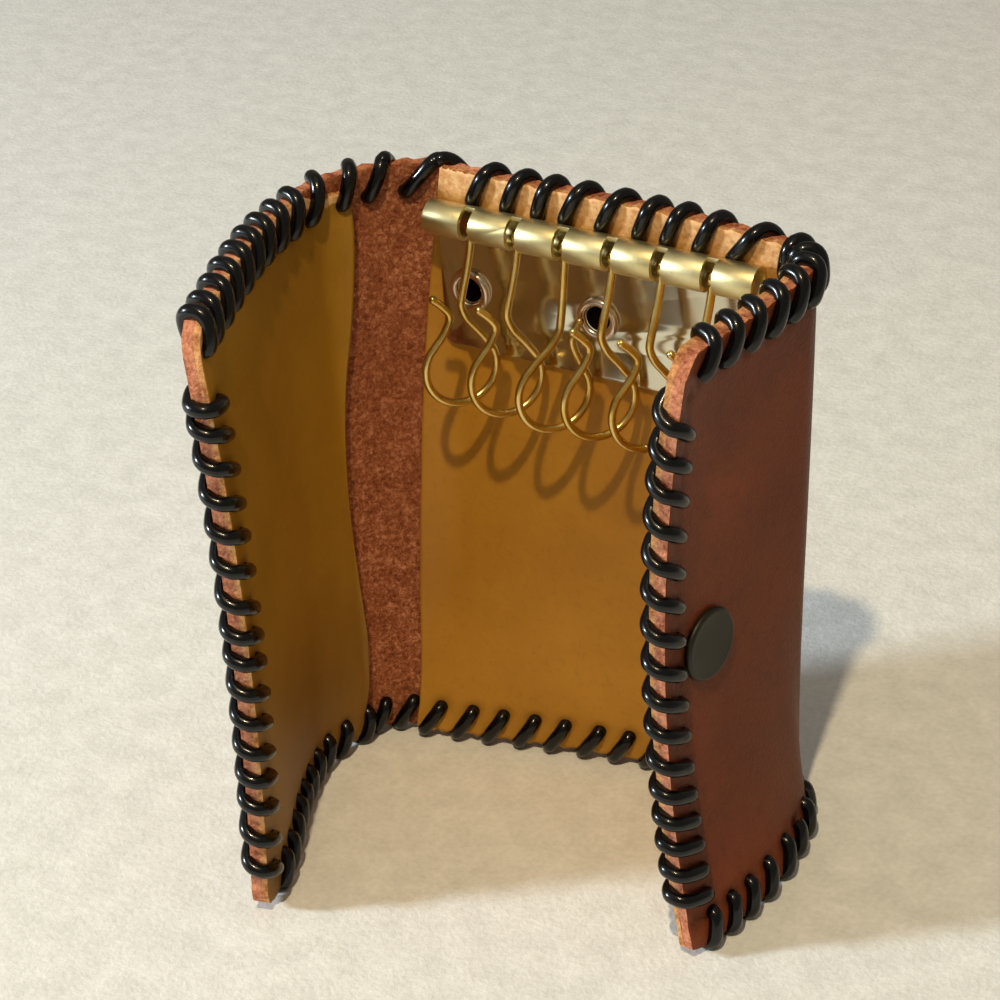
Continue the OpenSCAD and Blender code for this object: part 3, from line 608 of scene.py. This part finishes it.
def round_cord(name, routes, radius, sides, finish):
    """A mesh of round cords of that radius along the routes, each a list of points."""
    verts, edges = [], []
    for route in routes:
        edges += [(len(verts) + i, len(verts) + i + 1) for i in range(len(route) - 1)]
        verts += [tuple(v / 1000 for v in point) for point in route]
    line = bpy.data.meshes.new(name + "_route")
    line.from_pydata(verts, edges, [])
    cord = placed(name, line)
    sweep = cord.modifiers.new("cord", "NODES")
    sweep.node_group = CORD_TREE
    sweep[CORD_RADIUS] = radius / 1000
    sweep[CORD_SIDES] = sides
    sweep[CORD_FINISH] = finish
    made(cord)
    bpy.data.meshes.remove(line)
    cord.data.name = name
    return cord


def smooth_route(points, per):
    """A smooth curve through the points, with per steps between neighbours."""
    p = np.asarray(points, float)
    p = np.concatenate([2 * p[:1] - p[1:2], p, 2 * p[-1:] - p[-2:-1]])
    out = []
    for i in range(1, len(p) - 2):
        for t in np.arange(per) / per:
            out.append(0.5 * (2 * p[i] + (p[i + 1] - p[i - 1]) * t
                              + (2 * p[i - 1] - 5 * p[i] + 4 * p[i + 1] - p[i + 2]) * t * t
                              + (3 * p[i] - p[i - 1] - 3 * p[i + 1] + p[i + 2]) * t ** 3))
    out.append(p[-2])
    return np.array(out)


def lace(row, place, depth, last=True):
    """The cord over an edge through a row of holes. place turns along, in and out into a point."""
    points = []
    wobble = 0.1 * np.random.default_rng(7).normal(0, 1, (len(row), 3))[:, 0]
    for i in range(len(row) - (0 if last else 1)):
        after = row[i + 1] if i + 1 < len(row) else row[i] + 0.45 * (row[i] - row[i - 1])
        for share, inward, out in TURN:
            along = row[i] + share * (after - row[i]) + (wobble[i] if 0.1 < share < 0.9 else 0)
            inward *= depth if inward > 0 else LACE_OVER
            points.append(place(along, inward, out * LACE_N))
    return smooth_route(points, 3)


def on_top(s, inward, n):
    """Between the two linings the cord beds straight onto the cover, here and on the bottom edge."""
    bare = LAP_END + 1 < s < BACK_LINING + 4 and n < 0
    return leather(s, top_at(s) - inward, n + (LINING * 0.9 if bare else 0))[0]


def on_bottom(s, inward, n):
    bare = LAP_END - 7 < s < BACK_LINING + 2 and n < 0
    return leather(s, LOW + max(inward, -0.3), n + (LINING * 0.9 if bare else 0))[0]


def on_left(z, inward, n):
    return leather(inward, z, n)[0]


def on_right(z, inward, n):
    return leather(END - inward, z, n)[0]


def stretch(row, low, high):
    """The holes of a row from low to high, and the next one, where the cord goes on."""
    inside = np.flatnonzero((row > low) & (row < high))
    return row[inside[0]:inside[-1] + 2]


def both_rows(low, high):
    """The cord along the top and the bottom from low to high."""
    return [lace(stretch(top_row, low, high), on_top, TOP_IN, False),
            lace(stretch(bottom_row, low, high)[::-1], on_bottom, BOTTOM_IN, False)]


def lace_finish():
    """Glossy black, with a fine crackle and a little dust."""
    f = Finish("black_lace", Specular_IOR_Level=0.3, Coat_Roughness=0.08)
    crackle = f.noise(900, 4, 0.6, warp=0.4)
    dust = f.noise(260, 3, 0.6)
    colour = f.ramp(crackle, (0.35, srgb(3, 3, 4)), (0.7, srgb(9, 9, 11)))
    return f.done(Base_Color=colour, Roughness=0.17 + dust * 0.14, Coat_Weight=0.12 + dust * 0.16,
                  Normal=f.bump(crackle, 0.00006, 0.3))


black_lace = lace_finish()
left_runs = [lace(left_row, on_left, LEFT_IN), *both_rows(0, BACK_MID)]
front_runs = [lace(right_row, on_right, RIGHT_IN, False), *both_rows(SIDE_MID, END)]
lacing_left = round_cord("lacing_left", left_runs, LACE_R, 14, black_lace)
lacing_right = round_cord("lacing_right", both_rows(BACK_MID, SIDE_MID), LACE_R, 14, black_lace)
lacing_front = round_cord("lacing_front", front_runs, LACE_R, 14, black_lace)
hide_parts("left_top_lacing", "left_bottom_lacing", "left_edge_lacing", "left_fold_lacing",
            "back_top_lacing", "back_bottom_lacing")
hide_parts("right_fold_lacing", "side_top_lacing", "side_bottom_lacing")
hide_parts("right_top_lacing", "right_bottom_lacing", "right_edge_lacing")
bend(lacing_left, "back", "left_flap", BACK_A, FOLD_A)
bend(lacing_right, "back", "right_side", BACK_B, FOLD_B)
bend(lacing_front, "right_side", "right_flap", *FRONT_CURVE)


# Key plate
# Pale brass sheet, 0.8 mm thick, its top rolled into a tube with six slots. It is polished but handled: fine
# scratches run along the tube, and there are duller patches.
def plate_finish():
    """Brass, warmer and more scratched on the tube, which starts 97 mm up, than on the flat plate."""
    f = Finish("pale_brass_plate", Metallic=1.0)
    stretched = f.add("ShaderNodeMapping", {}, {"Vector": f.place, "Scale": (0.06, 1, 1)})
    scratch = f.noise(2600, 3, 0.6, place=stretched)
    tarnish = f.noise(150, 4, 0.65, warp=0.5)
    tube = f.height().step(0.0967, 0.0975)
    warm = f.ramp(tarnish, (0.35, srgb(214, 196, 140)), (0.65, srgb(228, 214, 166)))
    colour = f.mix(tube, srgb(214, 208, 186), warm)
    colour = f.mix(f.noise(420, 3, 0.6).step(0.64, 0.74) * 0.35, colour, srgb(160, 136, 84))
    return f.done(Base_Color=colour, Roughness=0.12 + tarnish * 0.08 + tube * (0.2 + scratch * 0.12),
                  Normal=f.bump(scratch * 0.3 + tarnish * 0.7, 0.00003, 0.3))


def eased_plate():
    """The plate's own mesh with its doubles merged, its edges eased and its rolled tube shaded smooth."""
    mesh = frame["nodes"]["key_plate"].data.copy()
    b = bmesh.new()
    b.from_mesh(mesh)
    bmesh.ops.remove_doubles(b, verts=b.verts, dist=1e-6)
    bmesh.ops.dissolve_limit(b, angle_limit=math.radians(0.5), verts=b.verts, edges=b.edges)
    b.to_mesh(mesh)
    b.free()
    mesh.materials.clear()
    mesh.materials.append(plate_finish())
    mesh.shade_smooth()
    plate = placed("key_plate_finished", mesh)
    eased = plate.modifiers.new("eased", "BEVEL")
    eased.width = 0.00012
    eased.segments = 2
    eased.limit_method = "ANGLE"
    eased.angle_limit = math.radians(40)
    made(plate)
    plate.data.set_sharp_from_angle(angle=math.radians(35))
    return plate


key_plate = eased_plate()
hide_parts("key_plate")
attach(key_plate, "back")


# Eyelets
# Three brass eyelets clench the plate, the lining and the cover together. Each is a turned ring with a rolled
# flange in front and a smaller one behind, and dark discs of painted shade close its hollow.
EYELET_X, EYELET_Z, PLATE_FACE = (-20.8, 3.0, 26.8), 87.4, 29.36
EYELET_HOLLOW_R, EYELET_SIDES = 2.35, 48
# The ring's section: radius, and height in front of the plate's face
EYELET_RING = [(2.3, 0.1), (2.4, 0.45), (2.7, 0.68), (3.1, 0.75), (3.45, 0.62), (3.7, 0.3), (3.75, 0),
               (2.9, -0.1), (2.9, -3.55), (3.2, -3.6), (3.25, -3.9), (3.0, -4.15), (2.6, -4.15), (2.3, -3.9)]


def eyelet_finish(name, colour, rough):
    """Brass with worn spots in a darker shade of its colour."""
    f = Finish(name, Metallic=1.0)
    spots = f.noise(700, 4, 0.6)
    return f.done(Base_Color=f.mix(spots.step(0.45, 0.75) * 0.5, colour, tuple(c * 0.6 for c in colour)),
                  Roughness=rough + spots * 0.15)


def eyelet(b, x):
    """Adds the ring at x, and the two dark discs of painted shade that close its hollow in front and behind.
    """
    around = [[b.verts.new(Vector((x + r * math.cos(a), PLATE_FACE - out, EYELET_Z + r * math.sin(a))) / 1000)
               for r, out in EYELET_RING] for a in np.radians(np.arange(EYELET_SIDES) * 360 / EYELET_SIDES)]
    for i in range(EYELET_SIDES):
        for j in range(len(EYELET_RING)):
            k = (j + 1) % len(EYELET_RING)
            b.faces.new((around[i][j], around[i][k], around[i - 1][k], around[i - 1][j])).smooth = True
    # Near-black discs of painted shade close the hollow in front and behind
    for out, facing in ((-0.45, 90), (-3.75, -90)):
        place = Matrix.Translation(Vector((x, PLATE_FACE - out, EYELET_Z)) / 1000)
        disc = bmesh.ops.create_circle(b, cap_ends=True, radius=EYELET_HOLLOW_R / 1000, segments=EYELET_SIDES,
                                       matrix=place @ Matrix.Rotation(math.radians(facing), 4, "X"))
        for face in disc["verts"][0].link_faces:
            face.material_index = 1


turned_rings = bmesh.new()
for x in EYELET_X:
    eyelet(turned_rings, x)
bmesh.ops.recalc_face_normals(turned_rings, faces=[f for f in turned_rings.faces if f.material_index == 0])
eyelets = placed("eyelets", bpy.data.meshes.new("eyelets"))
turned_rings.to_mesh(eyelets.data)
turned_rings.free()
eyelets.data.materials.append(eyelet_finish("eyelet_rim", srgb(224, 204, 186), 0.16))
# The discs take a near-black finish: painted shade
eyelets.data.materials.append(eyelet_finish("eyelet_painted_shade_disc", srgb(20, 14, 10), 0.7))
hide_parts("plate_eyelets")
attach(eyelets, "back")


# Hooks
# Six hooks, each bent from one length of brass wire with an upset head that sits in the tube: a straight
# shank, a round key loop, a pinched neck and a tip that flares away. The third hangs back to front.
WIRE_R, LOOP_R, HEAD_R, TIP_R = 0.68, 6.2, 1.35, 0.7
HOOK_LEAN, HOOK_TURN = math.radians(8.383), math.radians(52.118)
swings = [joint for joint in frame["joints"] if joint["child"].startswith("hook_")]


def wire_finish():
    """Drawn brass wire with cloudy tarnish."""
    f = Finish("hook_brass", Metallic=1.0)
    tarnish = f.noise(160, 4, 0.6)
    colour = f.ramp(tarnish, (0.35, srgb(206, 172, 92)), (0.55, srgb(226, 196, 120)),
                    (0.75, srgb(236, 212, 146)))
    return f.done(Base_Color=colour, Roughness=0.2 + tarnish * 0.1,
                  Normal=f.bump(f.noise(1500, 2), 0.00003, 0.25))


def hook_route(back_to_front):
    """Points of one hook in its own plane, right and up from the tube's axis."""
    if back_to_front:
        centre = np.array([0.9, -25.2])
        shank = [(0, -0.6), (0.05, -4), (0.1, -8), (0.25, -12.4), (0.5, -14.6), (1.7, -16.8), (3.6, -18.9)]
        tip = [(-2.9, -19.2), (-2.1, -17.5), (-1.9, -16.2), (-2.3, -14.7), (-3.0, -13.3)]
    else:
        centre = np.array([-1.2, -24.5])
        shank = [(0, -0.6), (-0.2, -4), (-0.7, -8), (-1.4, -12.2), (-1.4, -14), (-0.3, -16.1), (1.7, -18.3)]
        tip = [(-4.6, -18.7), (-3.7, -16.8), (-3.4, -15.7), (-3.7, -14.7), (-4.9, -13.4), (-6.4, -12.2)]
    angles = np.radians(np.arange(38, -215, -8))
    loop = [centre + LOOP_R * np.array([math.cos(a), math.sin(a)]) for a in angles]
    return [*shank, *loop, *tip]


def hung(top, back_to_front, p):
    """The point p of a hook's own plane, turned on the shank and leant out from its place on the tube."""
    turn = HOOK_TURN + (math.pi if back_to_front else 0)
    y, z = p[0] * math.sin(turn), p[1]
    return (top[0] + p[0] * math.cos(turn), top[1] + y * math.cos(HOOK_LEAN) + z * math.sin(HOOK_LEAN),
            top[2] - y * math.sin(HOOK_LEAN) + z * math.cos(HOOK_LEAN))


hook_brass = wire_finish()
for i, swing in enumerate(swings, 1):
    top, flipped = np.array(swing["pos_m"]) * 1000, i == 3
    route = smooth_route([hung(top, flipped, p) for p in hook_route(flipped)], 3)
    hook = round_cord(f"hook_{i}_wire", [route], WIRE_R, 16, hook_brass)
    b = bmesh.new()
    b.from_mesh(hook.data)
    for end, r in ((hung(top, flipped, (0, -0.5)), HEAD_R), (route[-1], TIP_R)):
        ball = bmesh.ops.create_uvsphere(b, u_segments=20, v_segments=12, radius=r / 1000)
        bmesh.ops.translate(b, verts=ball["verts"], vec=Vector(end) / 1000)
    b.to_mesh(hook.data)
    b.free()
    hook.data.shade_smooth()
    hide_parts(f"hook_{i}")
    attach(hook, f"hook_{i}")


# Press stud
# A gunmetal cap with a flat face and a rounded rim on the right flap, riveted to its socket inside, and the
# stud with its post on the left flap. The paint is matt, and worn a little in spots.
CAP_S, CAP_Z, STUD_S, STUD_Z = END - 11.3, 52.6, 9.4, 54.65
TURNED_SIDES = 64


def snap_finish():
    """Matt gunmetal paint, cloudy, with worn spots."""
    f = Finish("gunmetal", Metallic=0.55, Specular_IOR_Level=0.5)
    wear = f.noise(500, 4, 0.6)
    cloud = f.noise(120)
    colour = f.ramp(cloud, (0.35, srgb(34, 33, 28)), (0.7, srgb(54, 52, 43)))
    colour = f.mix(wear.step(0.62, 0.75) * 0.4, colour, srgb(96, 90, 74))
    return f.done(Base_Color=colour, Roughness=0.38 + cloud * 0.12, Normal=f.bump(wear, 0.00005, 0.4))


gunmetal = snap_finish()


def turned(name, s, z, n, facing, profile):
    """A turned part on the leather at the place s, height z and depth n, its axis outwards (facing 1) or
    inwards (-1). The profile is its radius and height from one end to the other."""
    foot, out = leather(s, z, n)
    spin = (Vector(out) * facing).to_track_quat("Z", "Y").to_matrix()
    b = bmesh.new()
    rings = []
    for r, h in profile:
        angles = np.arange(TURNED_SIDES if r else 1) * 2 * math.pi / TURNED_SIDES
        points = [Vector(foot) + spin @ Vector((r * math.cos(a), r * math.sin(a), h)) for a in angles]
        rings.append([b.verts.new(point / 1000) for point in points])
    for low, high in zip(rings, rings[1:]):
        for k in range(TURNED_SIDES):
            m = (k + 1) % TURNED_SIDES
            face = [low[k % len(low)], low[m % len(low)], high[m % len(high)], high[k % len(high)]]
            b.faces.new(list(dict.fromkeys(face)))
    bmesh.ops.recalc_face_normals(b, faces=b.faces)
    mesh = bpy.data.meshes.new(name)
    b.to_mesh(mesh)
    b.free()
    mesh.materials.append(gunmetal)
    mesh.shade_smooth()
    mesh.set_sharp_from_angle(angle=math.radians(40))
    return placed(name, mesh)


rim_angles = np.radians(np.arange(-90, 91, 15))
cap_rim = [(5.35 + 0.65 * math.cos(a), 0.65 + 0.65 * math.sin(a)) for a in rim_angles]
cap_profile = [(0, -2.6), (1.4, -2.6), (1.4, 0), (4.6, 0), *cap_rim, (5.0, 1.24), (4.7, 1.2), (0, 1.22)]
socket_profile = [(0, 0), (4.6, 0), (4.8, 0.2), (4.8, 2.2), (4.5, 2.6), (2.8, 2.6), (2.5, 2.3), (2.4, 0.7),
                  (0, 0.6)]
post_profile = [(0, -2.3), (1.45, -2.3), (1.45, 0), (4.0, 0), (4.0, 0.3), (3.85, 0.52), (3.6, 0.6),
                (2.2, 0.66), (1.85, 0.8), (1.8, 1.35), (1.95, 1.6), (2.1, 1.85), (2.1, 2.15), (1.98, 2.5),
                (1.75, 2.8), (1.3, 2.98), (0, 3.0)]
stud_cap = turned("stud_cap", CAP_S, CAP_Z, THICK / 2 - 0.05, 1, cap_profile)
stud_socket = turned("stud_socket", CAP_S, CAP_Z, -THICK / 2 + 0.05, -1, socket_profile)
stud_post = turned("stud_post", STUD_S, STUD_Z, THICK / 2 - 0.02, 1, post_profile)
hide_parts("snap_cap")
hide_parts("snap_socket")
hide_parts("snap_stud", "snap_stud_post")
for piece, body in ((stud_cap, "right_flap"), (stud_socket, "right_flap"), (stud_post, "left_flap")):
    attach(piece, body)


# Table
# A plain pale table top with a faint mottle, six metres square so that its edges stay out of sight. It looks
# warm white in the light of the room.
TABLE_REACH = 3


def table_finish():
    """Off-white with a faint mottle and a little tooth."""
    f = Finish("pale_table", Specular_IOR_Level=0.2)
    blotch = f.noise(160, 5, 0.65)
    fine = f.noise(900, 3, 0.6)
    colour = f.ramp(blotch * 0.6 + fine * 0.4, (0.35, srgb(217, 216, 212)), (0.65, srgb(239, 238, 235)))
    return f.done(Base_Color=colour, Roughness=0.8 + fine * 0.1, Normal=f.bump(fine + blotch, 0.0003, 0.5))


floor = placed("floor", bpy.data.meshes.new("floor"))
corners = [(x * TABLE_REACH, y * TABLE_REACH, 0) for x, y in ((-1, -1), (1, -1), (1, 1), (-1, 1))]
floor.data.from_pydata(corners, [], [(0, 1, 2, 3)])
floor.data.materials.append(table_finish())
world = bpy.data.worlds.new("room")
world.use_nodes = True
world.node_tree.nodes["Background"].inputs["Color"].default_value = (1, 0.92, 0.76, 1)
world.node_tree.nodes["Background"].inputs["Strength"].default_value = 0.22
bpy.context.scene.world = world
